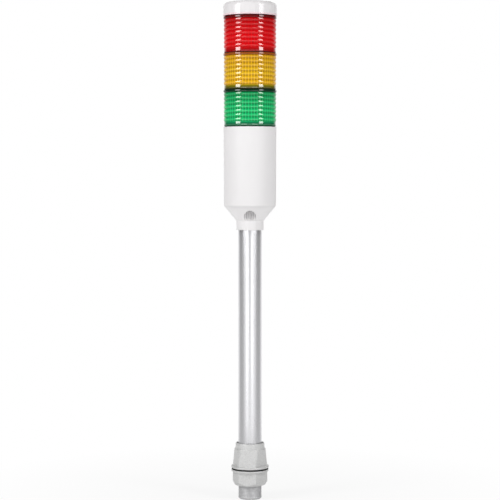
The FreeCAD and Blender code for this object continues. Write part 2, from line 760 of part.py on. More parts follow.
def make_set_screws():
    """Two set screws with hexagonal key sockets, which hold the pole in the foot."""
    body = new_body("set_screws", pole_bottom + screw_level, screw_turn)
    tip = pole_radius + screw_play
    head = foot_across / 2 - screw_sink
    blank = new_sketch(body, "screw", "XZ_Plane", lift=tip)
    draw_circle(blank, 0, 0, screw_radius)
    shank = extrude(body, blank, head - tip)
    key = new_sketch(body, "key", "XZ_Plane", lift=head)
    draw_hexagon(key, key_across)
    socket = extrude(body, key, key_depth, "Pocket")
    repeat_round(body, [shank, socket], screw_count, screw_spread)
    return body


def make_gasket():
    """The flat gasket under the flange."""
    body = new_body("base_gasket")
    ring = new_sketch(body, "ring", "XY_Plane")
    draw_circle(ring, 0, 0, stub_radius + pole_fit)
    draw_circle(ring, 0, 0, flange_radius - gasket_inset)
    extrude(body, ring, gasket_thickness)
    return body


def make_washer():
    """The washer below the panel, chamfered on its lower edge."""
    body = new_body("clamp_washer", -washer_thickness)
    bore = stub_radius + washer_play
    wall = new_sketch(body, "wall", "XZ_Plane")
    corners = [(bore, 0), (washer_radius - washer_edge, 0), (washer_radius, washer_edge)]
    corners += [(washer_radius, washer_thickness), (bore, washer_thickness)]
    draw_outline(wall, corners)
    revolve(body, wall)
    return body


def make_nut():
    """The lock nut: a hexagon with its lower corners turned to a cone."""
    body = new_body("lock_nut", -(washer_thickness + nut_height))
    blank = new_sketch(body, "blank", "XY_Plane", turn=hex_turn)
    draw_hexagon(blank, nut_across)
    draw_circle(blank, 0, 0, stub_radius + nut_play)
    extrude(body, blank, nut_height)
    turned = new_sketch(body, "turned", "XZ_Plane")
    face = nut_across / 2 - nut_face
    corner = nut_across / math.sqrt(3)
    outside = corner + nut_face
    rise = nut_chamfer * (outside - face) / (corner - face)
    draw_outline(turned, [(face, 0), (outside, 0), (outside, rise)])
    revolve(body, turned, "Groove")
    return body


# ---------------------------------------------------------------- the whole light

parts = [make_foot(), make_gasket(), make_washer(), make_nut(), make_pole(), make_set_screws()]
parts += [make_housing(), make_tier_socket(), make_contact_pads("socket_pads", socket_face)]
parts += [make_control_board(), make_buzzer(), make_terminal_block()]
parts.append(make_seal("seal_green", stack_bottom))
for number, colour in enumerate(("green", "amber", "red")):
    parts += make_tier(colour, number)
parts.append(make_cap())
doc.recompute()

for item in doc.Objects:
    if "Invalid" in item.State or "Error" in item.State:
        raise RuntimeError(f"{item.Label} failed: {item.State}")
for part in parts:
    if part.Shape.isNull() or not part.Shape.isValid():
        raise RuntimeError(f"{part.Label} has no valid shape")

os.makedirs("parts", exist_ok=True)
for part in parts:
    part.Shape.exportStep(f"parts/{part.Label}.step")
    solids = len(part.Shape.Solids)
    print(f"{part.Label}: {solids} solid(s), {part.Shape.Volume:.0f} cubic mm")
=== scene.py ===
import json
import math

import bpy
import numpy as np
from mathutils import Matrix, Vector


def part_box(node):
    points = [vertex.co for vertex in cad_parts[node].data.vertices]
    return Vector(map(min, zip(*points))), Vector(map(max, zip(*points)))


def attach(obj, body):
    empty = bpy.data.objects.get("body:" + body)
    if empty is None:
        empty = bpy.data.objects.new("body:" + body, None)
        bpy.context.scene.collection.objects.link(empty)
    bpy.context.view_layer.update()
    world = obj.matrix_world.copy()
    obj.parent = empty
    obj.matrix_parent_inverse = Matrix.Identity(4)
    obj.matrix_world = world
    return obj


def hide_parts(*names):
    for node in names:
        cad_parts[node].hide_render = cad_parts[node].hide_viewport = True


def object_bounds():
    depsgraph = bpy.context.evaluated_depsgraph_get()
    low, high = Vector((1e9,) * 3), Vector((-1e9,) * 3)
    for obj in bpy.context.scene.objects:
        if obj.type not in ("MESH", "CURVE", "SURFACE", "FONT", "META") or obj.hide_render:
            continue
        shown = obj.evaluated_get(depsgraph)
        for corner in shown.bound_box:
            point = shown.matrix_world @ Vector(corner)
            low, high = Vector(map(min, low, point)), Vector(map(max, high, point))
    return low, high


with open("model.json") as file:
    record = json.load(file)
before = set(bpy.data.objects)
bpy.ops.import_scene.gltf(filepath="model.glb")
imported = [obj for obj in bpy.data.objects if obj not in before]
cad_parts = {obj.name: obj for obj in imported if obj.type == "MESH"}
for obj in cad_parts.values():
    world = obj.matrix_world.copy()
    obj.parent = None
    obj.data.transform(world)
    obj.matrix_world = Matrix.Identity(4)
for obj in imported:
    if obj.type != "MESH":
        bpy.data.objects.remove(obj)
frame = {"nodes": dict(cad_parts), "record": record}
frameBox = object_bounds()
nodes = frame["nodes"]
tierColours = ("green", "amber", "red")
print("frame loaded:", len(nodes), "nodes")


# ---- shapes. Profiles are in millimetres, as rows of radius and height.

# sharpAngle: degrees between faces past which an edge stays sharp. near, hair: how close two
# lengths have to be to count as equal, for shaped rows and for rows that are on a corner.
sharpAngle = 32
near = 0.01
hair = 1e-6


# Each row of an array divided by its own length.
def unit(rows):
    length = np.linalg.norm(rows, axis=-1, keepdims=True)
    return rows / np.maximum(length, 1e-12)


# A closed profile with rounded corners: each corner gives way to points on the arc of its
# radius that touches both sides. A corner of radius 0 stays as it is.
def roundProfile(corners, radii, steps=5):
    here = np.asarray(corners, float)
    radii = np.asarray(radii, float)[:, None]
    toBefore = unit(np.roll(here, 1, 0) - here)
    toAfter = unit(np.roll(here, -1, 0) - here)
    half = np.arccos(np.clip((toBefore * toAfter).sum(1, keepdims=True), -1, 1)) / 2
    half = np.clip(half, 1e-6, math.pi / 2 - 1e-6)
    centre = here + unit(toBefore + toAfter) * radii / np.sin(half)
    reach = radii / np.tan(half)
    start, end = here + toBefore * reach - centre, here + toAfter * reach - centre
    sweep = np.maximum(math.pi - 2 * half, 1e-6)[:, None]
    share = np.linspace(0, 1, steps)[None, :, None]
    points = centre[:, None] + (
        np.sin((1 - share) * sweep) * start[:, None] + np.sin(share * sweep) * end[:, None]
    ) / np.sin(sweep)
    points = points.reshape(-1, 2)
    apart = np.linalg.norm(points - np.roll(points, 1, 0), axis=1) > 1e-5
    return points[apart]


# The same closed profile with extra points, so that no side is longer than the spacing.
def divideProfile(profile, spacing):
    closed = np.vstack([profile, profile[:1]])
    along = np.r_[0, np.cumsum(np.linalg.norm(np.diff(closed, axis=0), axis=1))]
    stops = np.union1d(along[:-1], np.arange(0, along[-1], spacing))
    stops = stops[np.r_[True, np.diff(stops) > 1e-4]]
    return np.stack([np.interp(stops, along, closed[:, k]) for k in (0, 1)], 1)


# A mesh from a grid of points: rows follow the profile, columns go round the axis, and quads
# join neighbours. Rows of radius 0 become one point, so that poles are closed.
def gridMesh(name, grid, closedRows=True):
    rows, columns = grid.shape[:2]
    index = np.arange(rows * columns).reshape(rows, columns)
    atPole = np.hypot(grid[..., 0], grid[..., 1]).max(1) < 1e-9
    index[atPole] = index[atPole][:, :1]
    low = index if closedRows else index[:-1]
    high = np.roll(index, -1, 0) if closedRows else index[1:]
    quads = np.stack([low, np.roll(low, -1, 1), np.roll(high, -1, 1), high], -1).reshape(-1, 4)
    lowPole, highPole = quads[:, 0] == quads[:, 1], quads[:, 2] == quads[:, 3]
    triangles = np.vstack([quads[lowPole][:, [0, 2, 3]], quads[highPole][:, [0, 1, 2]]])
    quads = quads[~(lowPole | highPole)]
    used = np.unique(np.r_[quads.ravel(), triangles.ravel()])
    faces = np.searchsorted(used, quads).tolist() + np.searchsorted(used, triangles).tolist()
    mesh = bpy.data.meshes.new(name)
    mesh.from_pydata(grid.reshape(-1, 3)[used] * 0.001, [], faces)
    mesh.polygons.foreach_set("use_smooth", np.ones(len(faces), bool))
    mesh.set_sharp_from_angle(angle=math.radians(sharpAngle))
    mesh.update()
    piece = bpy.data.objects.new(name, mesh)
    bpy.context.collection.objects.link(piece)
    return piece


# A turned surface: each profile point at radius r goes to (r cos a, r sin a, z) for all
# angles a. shape, if given, changes the grid of radii from radius, height and angle.
def turnPiece(name, profile, columns, shape=None, closedRows=True):
    angle = np.linspace(0, 2 * math.pi, columns, endpoint=False)[None, :]
    radius = np.repeat(profile[:, :1], columns, 1)
    height = np.repeat(profile[:, 1:2], columns, 1)
    if shape:
        radius, height = shape(radius, height, np.repeat(angle, len(profile), 0))
    grid = np.stack([radius * np.cos(angle), radius * np.sin(angle), height], -1)
    return gridMesh(name, grid, closedRows)


# The smaller of two values, blended over a width so that the edge between them is soft.
def softMinimum(first, paintedLight, width):
    blend = np.clip(0.5 + (paintedLight - first) / (2 * width), 0, 1)
    return paintedLight + (first - paintedLight) * blend - width * blend * (1 - blend)


# Radius of a hexagon's side at each angle: half its width over the cosine of the angle from
# the middle of the nearest side.
def hexagonRadius(angle, across, turn):
    fromFace = (angle - math.radians(turn)) % (math.pi / 3) - math.pi / 6
    return across / 2 / np.cos(fromFace)


# A node's lowest and highest corner in millimetres.
def boxOf(node):
    low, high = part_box(node)
    return np.array(low) * 1000, np.array(high) * 1000


# ---- materials


# One output socket. Sums on it add Math nodes to the same tree.
class Signal:
    def __init__(self, tree, socket):
        self.tree = tree
        self.socket = socket

    # A node of any type: settings first, then the values or links of its inputs.
    def node(self, kind, settings=None, **inputs):
        return addNode(self.tree, kind, settings, **inputs)

    def operate(self, operation, *values):
        numbers = {f"i{k}": value for k, value in enumerate(values)}
        return self.node("ShaderNodeMath", {"operation": operation}, **numbers)

    def __add__(self, other):
        return self.operate("ADD", self, other)

    def __radd__(self, other):
        return self.operate("ADD", other, self)

    def __sub__(self, other):
        return self.operate("SUBTRACT", self, other)

    def __rsub__(self, other):
        return self.operate("SUBTRACT", other, self)

    def __mul__(self, other):
        return self.operate("MULTIPLY", self, other)

    def __rmul__(self, other):
        return self.operate("MULTIPLY", other, self)

    def __truediv__(self, other):
        return self.operate("DIVIDE", self, other)

    def clamp(self, low=0.0, high=1.0):
        return self.operate("MINIMUM", self.operate("MAXIMUM", self, low), high)

    def cosine(self):
        return self.operate("COSINE", self)


# Puts a ramp's stops in, each a place and a colour.
def fillRamp(ramp, stops):
    ramp.elements.remove(ramp.elements[1])
    ramp.elements[0].position, ramp.elements[0].color = stops[0][0], (*stops[0][1], 1)
    for place, colour in stops[1:]:
        ramp.elements.new(place).color = (*colour, 1)


# Adds a node. An input is named as on the node with spaces left out, or i0, i1 for its place.
def addNode(tree, kind, settings=None, output=0, **inputs):
    node = tree.nodes.new(kind)
    for key, value in (settings or {}).items():
        if key == "stops":
            fillRamp(node.color_ramp, value)
        else:
            setattr(node, key, value)
    names = {s.name.replace(" ", ""): s for s in reversed(node.inputs) if s.enabled}
    for key, value in inputs.items():
        socket = node.inputs[int(key[1:])] if key[1:].isdigit() else names[key]
        if isinstance(value, Signal):
            tree.links.new(value.socket, socket)
        elif hasattr(socket.default_value, "__len__") and not hasattr(value, "__len__"):
            socket.default_value = (value,) * len(socket.default_value)
        else:
            socket.default_value = value
    return Signal(tree, node.outputs[output] if len(node.outputs) else None)


# A material's tree with what its patterns start from: object coordinates, in millimetres.
class Finish:
    def __init__(self, name):
        self.material = bpy.data.materials.new(name)
        self.material.use_nodes = True
        self.tree = self.material.node_tree
        self.tree.nodes.clear()
        self.place = self.node("ShaderNodeTexCoord", output="Object")
        self.place = self.node(
            "ShaderNodeVectorMath", {"operation": "SCALE"}, Vector=self.place, Scale=1000.0
        )

    def node(self, kind, settings=None, output=0, **inputs):
        return addNode(self.tree, kind, settings, output, **inputs)

    # x, y and z of the place.
    def axes(self):
        self.node("ShaderNodeSeparateXYZ", Vector=self.place)
        split = self.tree.nodes[-1]
        return [Signal(self.tree, socket) for socket in split.outputs]

    # Noise from 0 to 1 whose grains are that many millimetres, or stretched per axis.
    def noise(self, grain, detail=2.0, stretch=(1, 1, 1)):
        scale = tuple(1 / (grain * s) for s in stretch)
        spot = self.node(
            "ShaderNodeMapping", {"vector_type": "POINT"}, Vector=self.place, Scale=scale
        )
        return self.node(
            "ShaderNodeTexNoise", Vector=spot, Scale=1.0, Detail=detail, Roughness=0.55
        )

    # Two colours mixed by a signal from 0 to 1.
    def mix(self, share, first, paintedLight):
        colours = {}
        for key, value in (("i6", first), ("i7", paintedLight)):
            colours[key] = value if isinstance(value, Signal) else (*value, 1.0)
        return self.node(
            "ShaderNodeMix", {"data_type": "RGBA", "clamp_factor": True}, 2, i0=share, **colours
        )

    # A normal raised by a height signal; depth is in metres.
    def bump(self, height, depth):
        return self.node("ShaderNodeBump", Strength=1.0, Distance=depth, Height=height)

    # The surface shader and the output.
    def finish(self, **inputs):
        surface = self.node("ShaderNodeBsdfPrincipled", **inputs)
        self.node("ShaderNodeOutputMaterial", Surface=surface)
        return self.material


# ---- the lenses

lens = {
    "rings": 7,
    "ringDepth": 0.8,
    "ringSteps": 10,
    "rimInset": 0.4,
    "rimHeight": 4.7,
    "lipHeight": 2.0,
    "lipOverhang": 0.35,
    "skirtBore": 25.6,
    "skirtDepth": 6.2,
    "wallBore": 24.8,
    "spigotRadius": 25.3,
    "spigotBore": 23.3,
    "spigotHeight": 4.8,
    "crown": 1.7,
    "edge": 0.3,
    "smallEdge": 0.2,
    "tierGap": 0.8,
    "flutes": 56,
    "fluteDepth": 0.7,
    "columns": 392,
    "lugReach": 0.9,
    "lugAngles": (23.0, 37.0),
    "lugLevels": (2.4, 4.0),
    "grooveRadius": 26.5,
    "grooveLevels": (1.3, 3.5),
    "grooveAngles": (1.5, 38.5),
    "entryAngles": (1.5, 18.5),
    "grooveMargin": 0.5,
    "rowApart": 0.03,
}


# 1 where an angle in degrees, taken from each third of a turn, lies between two limits.
def thirds(angle, limits):
    degrees = np.degrees(angle) % 120
    return (degrees > limits[0]) & (degrees < limits[1])


# Radii of a skirt's inside with the lock's groove and entries cut in, from angle and height.
def cutLock(radius, height, angle, joint):
    above = height - joint
    inGroove = (above > lens["grooveLevels"][0]) & (above < lens["grooveLevels"][1])
    inEntry = above < lens["grooveLevels"][1]
    cut = inGroove & thirds(angle, lens["grooveAngles"])
    cut |= inEntry & thirds(angle, lens["entryAngles"])
    onSkirt = abs(radius - lens["skirtBore"]) < near
    onSkirt &= above < lens["skirtDepth"] - lens["grooveMargin"]
    return np.where(onSkirt & cut, lens["grooveRadius"], radius)


# Radii of a spigot's outside with the lock's lugs standing out of it.
def raiseLugs(radius, height, angle, joint):
    above = height - joint
    onLug = (above > lens["lugLevels"][0]) & (above < lens["lugLevels"][1])
    onSpigot = abs(radius - lens["spigotRadius"]) < near
    reach = lens["lugReach"] * thirds(angle, lens["lugAngles"])
    return radius + np.where(onLug & onSpigot, reach, 0)


# Heights on a skirt or spigot at which a lock's edges fall, each as a pair of close rows.
def lockRows(radius, joint, levels, downwards):
    apart = lens["rowApart"]
    heights = np.sort(np.r_[levels][:, None] + np.array([-apart, apart]), axis=None)
    heights = heights[::-1] if downwards else heights
    return [(radius, joint + h) for h in heights]


# The outside of the rings: over each pitch, the arc whose chord is the pitch and whose rise
# is the ring's depth, on top of the valley's radius.
def ringPoints(radius, low, high):
    pitch = (high - low) / lens["rings"]
    depth = lens["ringDepth"]
    arc = ((pitch / 2) ** 2 + depth**2) / (2 * depth)
    share = np.arange(1, lens["rings"] * lens["ringSteps"]) / lens["ringSteps"]
    across = (share % 1 - 0.5) * pitch
    rise = np.sqrt(arc**2 - across**2) - (arc - depth)
    return np.stack([radius - depth + rise, low + share * pitch], 1)


def makeLens(colour):
    name = f"lens_{colour}"
    low, high = boxOf(name)
    bottom = low[2]
    top = high[2] - lens["spigotHeight"]
    crest = high[0] - lens["lipOverhang"]
    rim = crest - lens["rimInset"]
    valley = crest - lens["ringDepth"]
    edge, small = lens["edge"], lens["smallEdge"]
    ringLow, ringHigh = bottom + lens["rimHeight"], top - lens["lipHeight"]
    ceiling = top - lens["crown"]
    skirt, wall = lens["skirtBore"], lens["wallBore"]
    outside, inside = lens["spigotRadius"], lens["spigotBore"]
    joint = top + lens["tierGap"]
    skirtTop = bottom + lens["skirtDepth"]
    parts = [
        [(skirt, bottom, small), (rim, bottom, edge), (rim, ringLow, small)],
        [(valley, ringLow, 0)],
        [(*p, 0) for p in ringPoints(crest, ringLow, ringHigh)],
        [(valley, ringHigh, 0), (high[0], ringHigh, small), (high[0], top, edge)],
        [(outside, top, 0)],
        [(*p, 0) for p in lockRows(outside, joint, lens["lugLevels"], False)],
        [(outside, high[2], edge), (inside, high[2], edge), (inside, ceiling, 0)],
        [(wall, ceiling, 0), (wall, skirtTop, 0), (skirt, skirtTop, 0)],
        [(*p, 0) for p in lockRows(skirt, bottom, lens["grooveLevels"], True)],
    ]
    rows = np.array([row for part in parts for row in part])
    profile = roundProfile(rows[:, :2], rows[:, 2])

    # The flutes swell and fall with the cosine of the angle times their number.
    def shape(radius, height, angle):
        onWall = abs(radius - wall) < near
        flute = lens["fluteDepth"] * (0.5 + 0.5 * np.cos(lens["flutes"] * angle))
        radius = np.where(onWall, radius + flute, radius)
        radius = raiseLugs(radius, height, angle, joint)
        return cutLock(radius, height, angle, bottom), height

    piece = turnPiece(f"ringed_lens_{colour}", profile, lens["columns"], shape)
    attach(piece, f"tier_{colour}")
    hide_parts(name)
    return piece


lenses = {colour: makeLens(colour) for colour in tierColours}
print("lenses made")


# ---- the cap

cap = {
    "skirtBore": 25.6,
    "skirtEdge": 0.2,
    "roof": 2.6,
    "roofInside": 0.5,
    "round": 5.5,
    "roundSteps": 9,
    "rimHeight": 1.6,
    "rimStep": 0.15,
    "rimSlope": 0.3,
    "rimEdge": 0.1,
    "edge": 0.35,
    "columns": 192,
}


def makeCap():
    low, high = boxOf("head_cap")
    bottom, top, radius = low[2], high[2], high[0]
    body = radius - cap["rimStep"]
    ceiling = top - cap["roof"]
    rimTop = bottom + cap["rimHeight"]
    rows = [(cap["skirtBore"], ceiling, cap["roofInside"])]
    rows += [(*p, 0) for p in lockRows(cap["skirtBore"], bottom, lens["grooveLevels"], True)]
    rows += [(cap["skirtBore"], bottom, cap["skirtEdge"]), (radius, bottom, cap["edge"])]
    rows += [(radius, rimTop, cap["rimEdge"]), (body, rimTop + cap["rimSlope"], cap["rimEdge"])]
    rows += [(body, top, cap["round"]), (0, top, 0), (0, ceiling, 0)]
    rows = np.array(rows)
    profile = roundProfile(rows[:, :2], rows[:, 2], cap["roundSteps"])
    atAxis = np.flatnonzero(profile[:, 0] < hair)
    profile = np.roll(profile, -atAxis[-1], 0)

    def shape(radius, height, angle):
        return cutLock(radius, height, angle, bottom), height

    piece = turnPiece("moulded_cap", profile, cap["columns"], shape, closedRows=False)
    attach(piece, "cap")
    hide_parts("head_cap")
    return piece


capPiece = makeCap()
print("cap made")


# ---- the housing, with the sound port in its cone

housing = {
    "poleHole": 12.8,
    "neckRadius": 14.55,
    "neckHeight": 9.8,
    "neckRound": 1.0,
    "coneHeight": 16.1,
    "footRadius": 27.8,
    "footRound": 3.0,
    "socketBore": 25.7,
    "socketDepth": 9.2,
    "cavityRadius": 25.1,
    "cavityStart": 13.0,
    "stopRadius": 11.3,
    "stopLevels": (17.9, 19.7),
    "edge": 0.3,
    "smallEdge": 0.2,
    "roundSteps": 9,
    "slots": 6,
    "slotWidth": 1.25,
    "slotPitch": 2.2,
    "slotBack": 14.85,
    "slotEdge": 0.12,
    "portLevel": 1.1,
    "portSide": 3.7,
    "archMargin": 0.3,
    "archFade": 14.5,
    "portRows": 6,
    "columns": 160,
}


# The housing is one grid. Its columns stand at fixed places across the port and spread evenly
# round the rest, and its rows bend up over the port's arch and fade back to level above it.
# Within the slots the cone's surface goes straight back to the slots' floor. The slots are blind
# here: cavityStart leaves a thick wall behind them, thicker than the moulded part's own.
def makeHousing():
    low, high = boxOf("main_housing")
    bottom, top, h = low[2], high[2], housing
    neckTop = bottom + h["neckHeight"]
    coneTop = neckTop + h["coneHeight"]
    slope = h["coneHeight"] / (h["footRadius"] - h["neckRadius"])
    stops = [bottom + level for level in h["stopLevels"]]
    cavityStart = neckTop + h["cavityStart"]
    corners = np.array([
        (h["poleHole"], bottom, h["smallEdge"]),
        (h["neckRadius"], bottom, h["edge"]),
        (h["neckRadius"], neckTop, h["neckRound"]),
        (h["footRadius"], coneTop, h["footRound"]),
        (high[0], top, h["edge"]),
        (h["socketBore"], top, h["smallEdge"]),
        (h["socketBore"], top - h["socketDepth"], 0),
        (h["cavityRadius"], top - h["socketDepth"], 0),
        (h["cavityRadius"], cavityStart + (h["cavityRadius"] - h["neckRadius"]) * slope, 0),
        (h["neckRadius"], cavityStart, 0),
        (h["stopRadius"], stops[1], 0),
        (h["stopRadius"], stops[0], 0),
        (h["poleHole"], stops[0], 0),
    ])
    profile = roundProfile(corners[:, :2], corners[:, 2], h["roundSteps"])

    half, edge = h["slotWidth"] / 2, h["slotEdge"] / 2
    middles = h["slotPitch"] * (np.arange(h["slots"]) - (h["slots"] - 1) / 2)
    sides = np.array([-half - edge, -half + edge, 0, half - edge, half + edge])
    across = middles[:, None] + sides
    reach = middles[-1] + half + h["archMargin"]
    across = np.r_[-reach - edge, across.ravel(), reach + edge]
    inSlot = np.r_[False, np.tile([False, True, True, True, False], h["slots"]), False]
    arch = np.sqrt(np.maximum(reach**2 - across**2, 0))

    portLow = neckTop + h["portLevel"]
    springing = portLow + h["portSide"]
    fadeEnd = neckTop + h["archFade"]
    under = np.linspace(portLow + edge, springing - edge, h["portRows"])
    over = np.linspace(springing + edge, fadeEnd, h["portRows"])
    levels = np.r_[portLow - edge, under, over]
    climb = (under - under[0]) / (under[-1] - under[0])
    rise = np.r_[0, climb, (fadeEnd - over) / (fadeEnd - over[0])]
    sunk = np.r_[False, np.ones(len(under), bool), np.zeros(len(over), bool)]
    start = int(np.argmax(profile[:, 1] > levels[0]))

    # heights and radii of the port's rows, level outside the arch
    heights = levels[:, None] + rise[:, None] * arch
    radii = h["neckRadius"] + (heights - neckTop) / slope
    count = len(across)
    radius = np.repeat(profile[:, :1], count, 1)
    height = np.repeat(profile[:, 1:2], count, 1)
    radius = np.vstack([radius[:start], radii, radius[start:]])
    height = np.vstack([height[:start], heights, height[start:]])
    angle = np.arcsin(across / radius) - math.pi / 2

    # the columns round the rest join the port's last column to its first
    share = np.linspace(0, 1, h["columns"] + 2)[1:-1]
    sweep = angle[:, :1] + 2 * math.pi - angle[:, -1:]
    angle = np.hstack([angle, angle[:, -1:] + sweep * share])
    radius = np.hstack([radius, np.repeat(radius[:, :1], h["columns"], 1)])
    height = np.hstack([height, np.repeat(height[:, :1], h["columns"], 1)])
    grid = np.stack([radius * np.cos(angle), radius * np.sin(angle), height], -1)

    slots = np.zeros(grid.shape[:2], bool)
    slots[start : start + len(levels), :count] = sunk[:, None] & inSlot
    grid[..., 1] = np.where(slots, np.maximum(grid[..., 1], -h["slotBack"]), grid[..., 1])
    piece = gridMesh("sounder_housing", grid)
    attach(piece, "root")
    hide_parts("main_housing")
    return piece


housingPiece = makeHousing()
print("housing made")


# ---- the pole

pole = {"bore": 11.2, "edge": 0.3, "rowSpacing": 40, "columns": 160}


def makePole():
    low, high = boxOf("pole")
    edge = pole["edge"]
    bore, radius = pole["bore"], high[0]
    corners = [(bore, low[2]), (radius, low[2]), (radius, high[2]), (bore, high[2])]
    profile = divideProfile(roundProfile(corners, [edge] * 4), pole["rowSpacing"])
    piece = turnPiece("drawn_pole", profile, pole["columns"])
    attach(piece, "root")
    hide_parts("pole")
    return piece


polePiece = makePole()


# ---- the foot: collar, taper with spanner faces, flange and threaded stub in one casting

foot = {
    "cableBore": 8.5,
    "stubRadius": 12.5,
    "stubEdge": 1.2,
    "threadPitch": 1.5,
    "threadDepth": 0.4,
    "threadStart": 2.0,
    "threadRows": 9,
    "threadPower": 0.7,
    "seat": 1.8,
    "flangeEdge": 0.5,
    "flangeTop": 4.0,
    "taperFoot": 18.85,
    "taperTop": 22.5,
    "taperRadius": 16.6,
    "collarFoot": 15.7,
    "collarRadius": 15.4,
    "collarRound": 0.9,
    "recessRadius": 13.9,
    "recessDepth": 1.8,
    "socket": 12.8,
    "socketFloor": 12.0,
    "hexAcross": 32.7,
    "hexTurn": -11.0,
    "soft": 0.5,
    "boreEdge": 0.3,
    "stubMargin": 0.2,
    "stubRound": 0.5,
    "taperRound": 0.4,
    "roundSteps": 6,
    "rowSpacing": 0.9,
    "columns": 216,
}


def makeFoot():
    low, high = boxOf("pole_base")
    f = foot
    bottom, top, flange = low[2], high[2], high[0]
    edge = f["flangeEdge"]
    corners = np.array([
        (f["cableBore"], bottom, f["boreEdge"]),
        (f["stubRadius"] - f["stubEdge"], bottom, f["stubRound"]),
        (f["stubRadius"], bottom + f["stubEdge"], f["stubRound"]),
        (f["stubRadius"], f["seat"], 0),
        (flange, f["seat"], edge),
        (flange, f["flangeTop"], edge),
        (f["taperFoot"], f["flangeTop"], 0),
        (f["taperRadius"], f["taperTop"], f["taperRound"]),
        (f["collarFoot"], f["taperTop"], 0),
        (f["collarRadius"], top, f["collarRound"]),
        (f["recessRadius"], top, f["boreEdge"]),
        (f["recessRadius"], top - f["recessDepth"], 0),
        (f["socket"], top - f["recessDepth"], 0),
        (f["socket"], f["socketFloor"], 0),
        (f["cableBore"], f["socketFloor"], 0),
    ])
    profile = roundProfile(corners[:, :2], corners[:, 2], f["roundSteps"])
    profile = divideProfile(profile, f["rowSpacing"])
    rows = np.arange(bottom + f["stubEdge"] + 1, 0, f["threadPitch"] / f["threadRows"])
    onStub = (abs(profile[:, 0] - f["stubRadius"]) < hair) & (profile[:, 1] > rows[0])
    onStub &= profile[:, 1] < rows[-1]
    first = int(np.argmax(onStub))
    profile = np.vstack([
        profile[:first],
        np.stack([np.full(len(rows), f["stubRadius"]), rows], 1),
        profile[first:][~onStub[first:]],
    ])

    # The thread is a groove that sinks with the cosine of the height in pitches less the
    # share of a turn. The spanner faces are the softened lesser of the taper and a hexagon.
    def shape(radius, height, angle):
        turns = height / f["threadPitch"] - angle / (2 * math.pi)
        groove = (0.5 + 0.5 * np.cos(2 * math.pi * turns)) ** f["threadPower"]
        fade = np.clip((height - bottom - f["threadStart"]) / f["threadPitch"], 0, 1)
        onStub = (abs(radius - f["stubRadius"]) < hair) & (height < 0)
        threaded = radius - f["threadDepth"] * groove * fade
        onTaper = (height > f["flangeTop"] - hair) & (height < f["taperTop"] + hair)
        onTaper &= (radius < f["taperFoot"] + hair) & (radius > f["collarFoot"] + 0.1)
        hexagon = hexagonRadius(angle, f["hexAcross"], f["hexTurn"])
        faced = softMinimum(radius, hexagon, f["soft"])
        return np.where(onStub, threaded, np.where(onTaper, faced, radius)), height

    piece = turnPiece("cast_foot", profile, f["columns"], shape)
    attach(piece, "root")
    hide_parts("pole_base")
    return piece


footPiece = makeFoot()


# ---- gasket, washer and nut below the flange

clamp = {
    "gasketBore": 12.6,
    "gasketRound": 0.45,
    "washerBore": 12.8,
    "washerEdge": 0.4,
    "nutBore": 12.6,
    "nutAcross": 33.0,
    "nutFace": 16.2,
    "nutChamfer": 4.0,
    "nutRound": 2.2,
    "nutTurn": -11.0,
    "nutEdges": (0.4, 0.8, 0.3),
    "boreEdge": 0.15,
    "soft": 0.35,
    "columns": 240,
}


# A turned ring from a node's box: its bore, its outside, and a radius for its outer corners.
def makeRing(node, name, bore, corner, body):
    low, high = boxOf(node)
    corners = [(bore, low[2]), (high[0], low[2]), (high[0], high[2]), (bore, high[2])]
    profile = roundProfile(corners, [clamp["boreEdge"], corner, corner, clamp["boreEdge"]])
    piece = turnPiece(name, profile, clamp["columns"])
    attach(piece, body)
    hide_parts(node)
    return piece


def makeNut():
    low, high = boxOf("lock_nut")
    corner = clamp["nutAcross"] / math.sqrt(3)
    boreEdge, faceEdge, topEdge = clamp["nutEdges"]
    rows = np.array([
        (clamp["nutBore"], low[2], boreEdge),
        (clamp["nutFace"], low[2], faceEdge),
        (corner, low[2] + clamp["nutChamfer"], clamp["nutRound"]),
        (corner, high[2], topEdge),
        (clamp["nutBore"], high[2], topEdge),
    ])
    profile = divideProfile(roundProfile(rows[:, :2], rows[:, 2], 8), 1.0)

    # The hexagon is the softened lesser of the turned blank and the hexagon's radius.
    def shape(radius, height, angle):
        hexagon = hexagonRadius(angle, clamp["nutAcross"], clamp["nutTurn"])
        faced = softMinimum(radius, hexagon, clamp["soft"])
        return np.where(radius > clamp["nutFace"] - 1, faced, radius), height

    piece = turnPiece("hexagon_nut", profile, clamp["columns"], shape)
    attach(piece, "nut")
    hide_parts("lock_nut")
    return piece


gasketPiece = makeRing(
    "base_gasket", "panel_gasket", clamp["gasketBore"], clamp["gasketRound"], "root"
)
washerPiece = makeRing(
    "clamp_washer", "flat_washer", clamp["washerBore"], clamp["washerEdge"], "washer"
)
nutPiece = makeNut()
print("pole, foot and clamp made")


# ---- finishes


# Moulded white plastic: broad and fine tints, a faint grain in gloss and surface. Between two
# levels it takes a tone of painted light, the product of a ramp up from the lower level and one
# down to the upper, each a few millimetres long. That painted light stands in for light reflected
# from what lies near.
def makePlastic(name, pale, deep, roughness, paintedLight, levels, fade):
    f = Finish(name)
    z = f.axes()[2]
    broad, fine = f.noise(35, 2), f.noise(0.5, 3)
    colour = f.mix(broad * 0.7 + fine * 0.3, deep, pale)
    # painted light: a tone between the two levels for light reflected from nearby parts
    paintedLightShare = ((levels[1] - z) / fade).clamp() * ((z - levels[0]) / fade).clamp()
    colour = f.mix(paintedLightShare, colour, paintedLight)
    return f.finish(
        BaseColor=colour, Roughness=roughness + (fine - 0.5) * 0.1,
        Normal=f.bump(fine, 0.00001),
    )
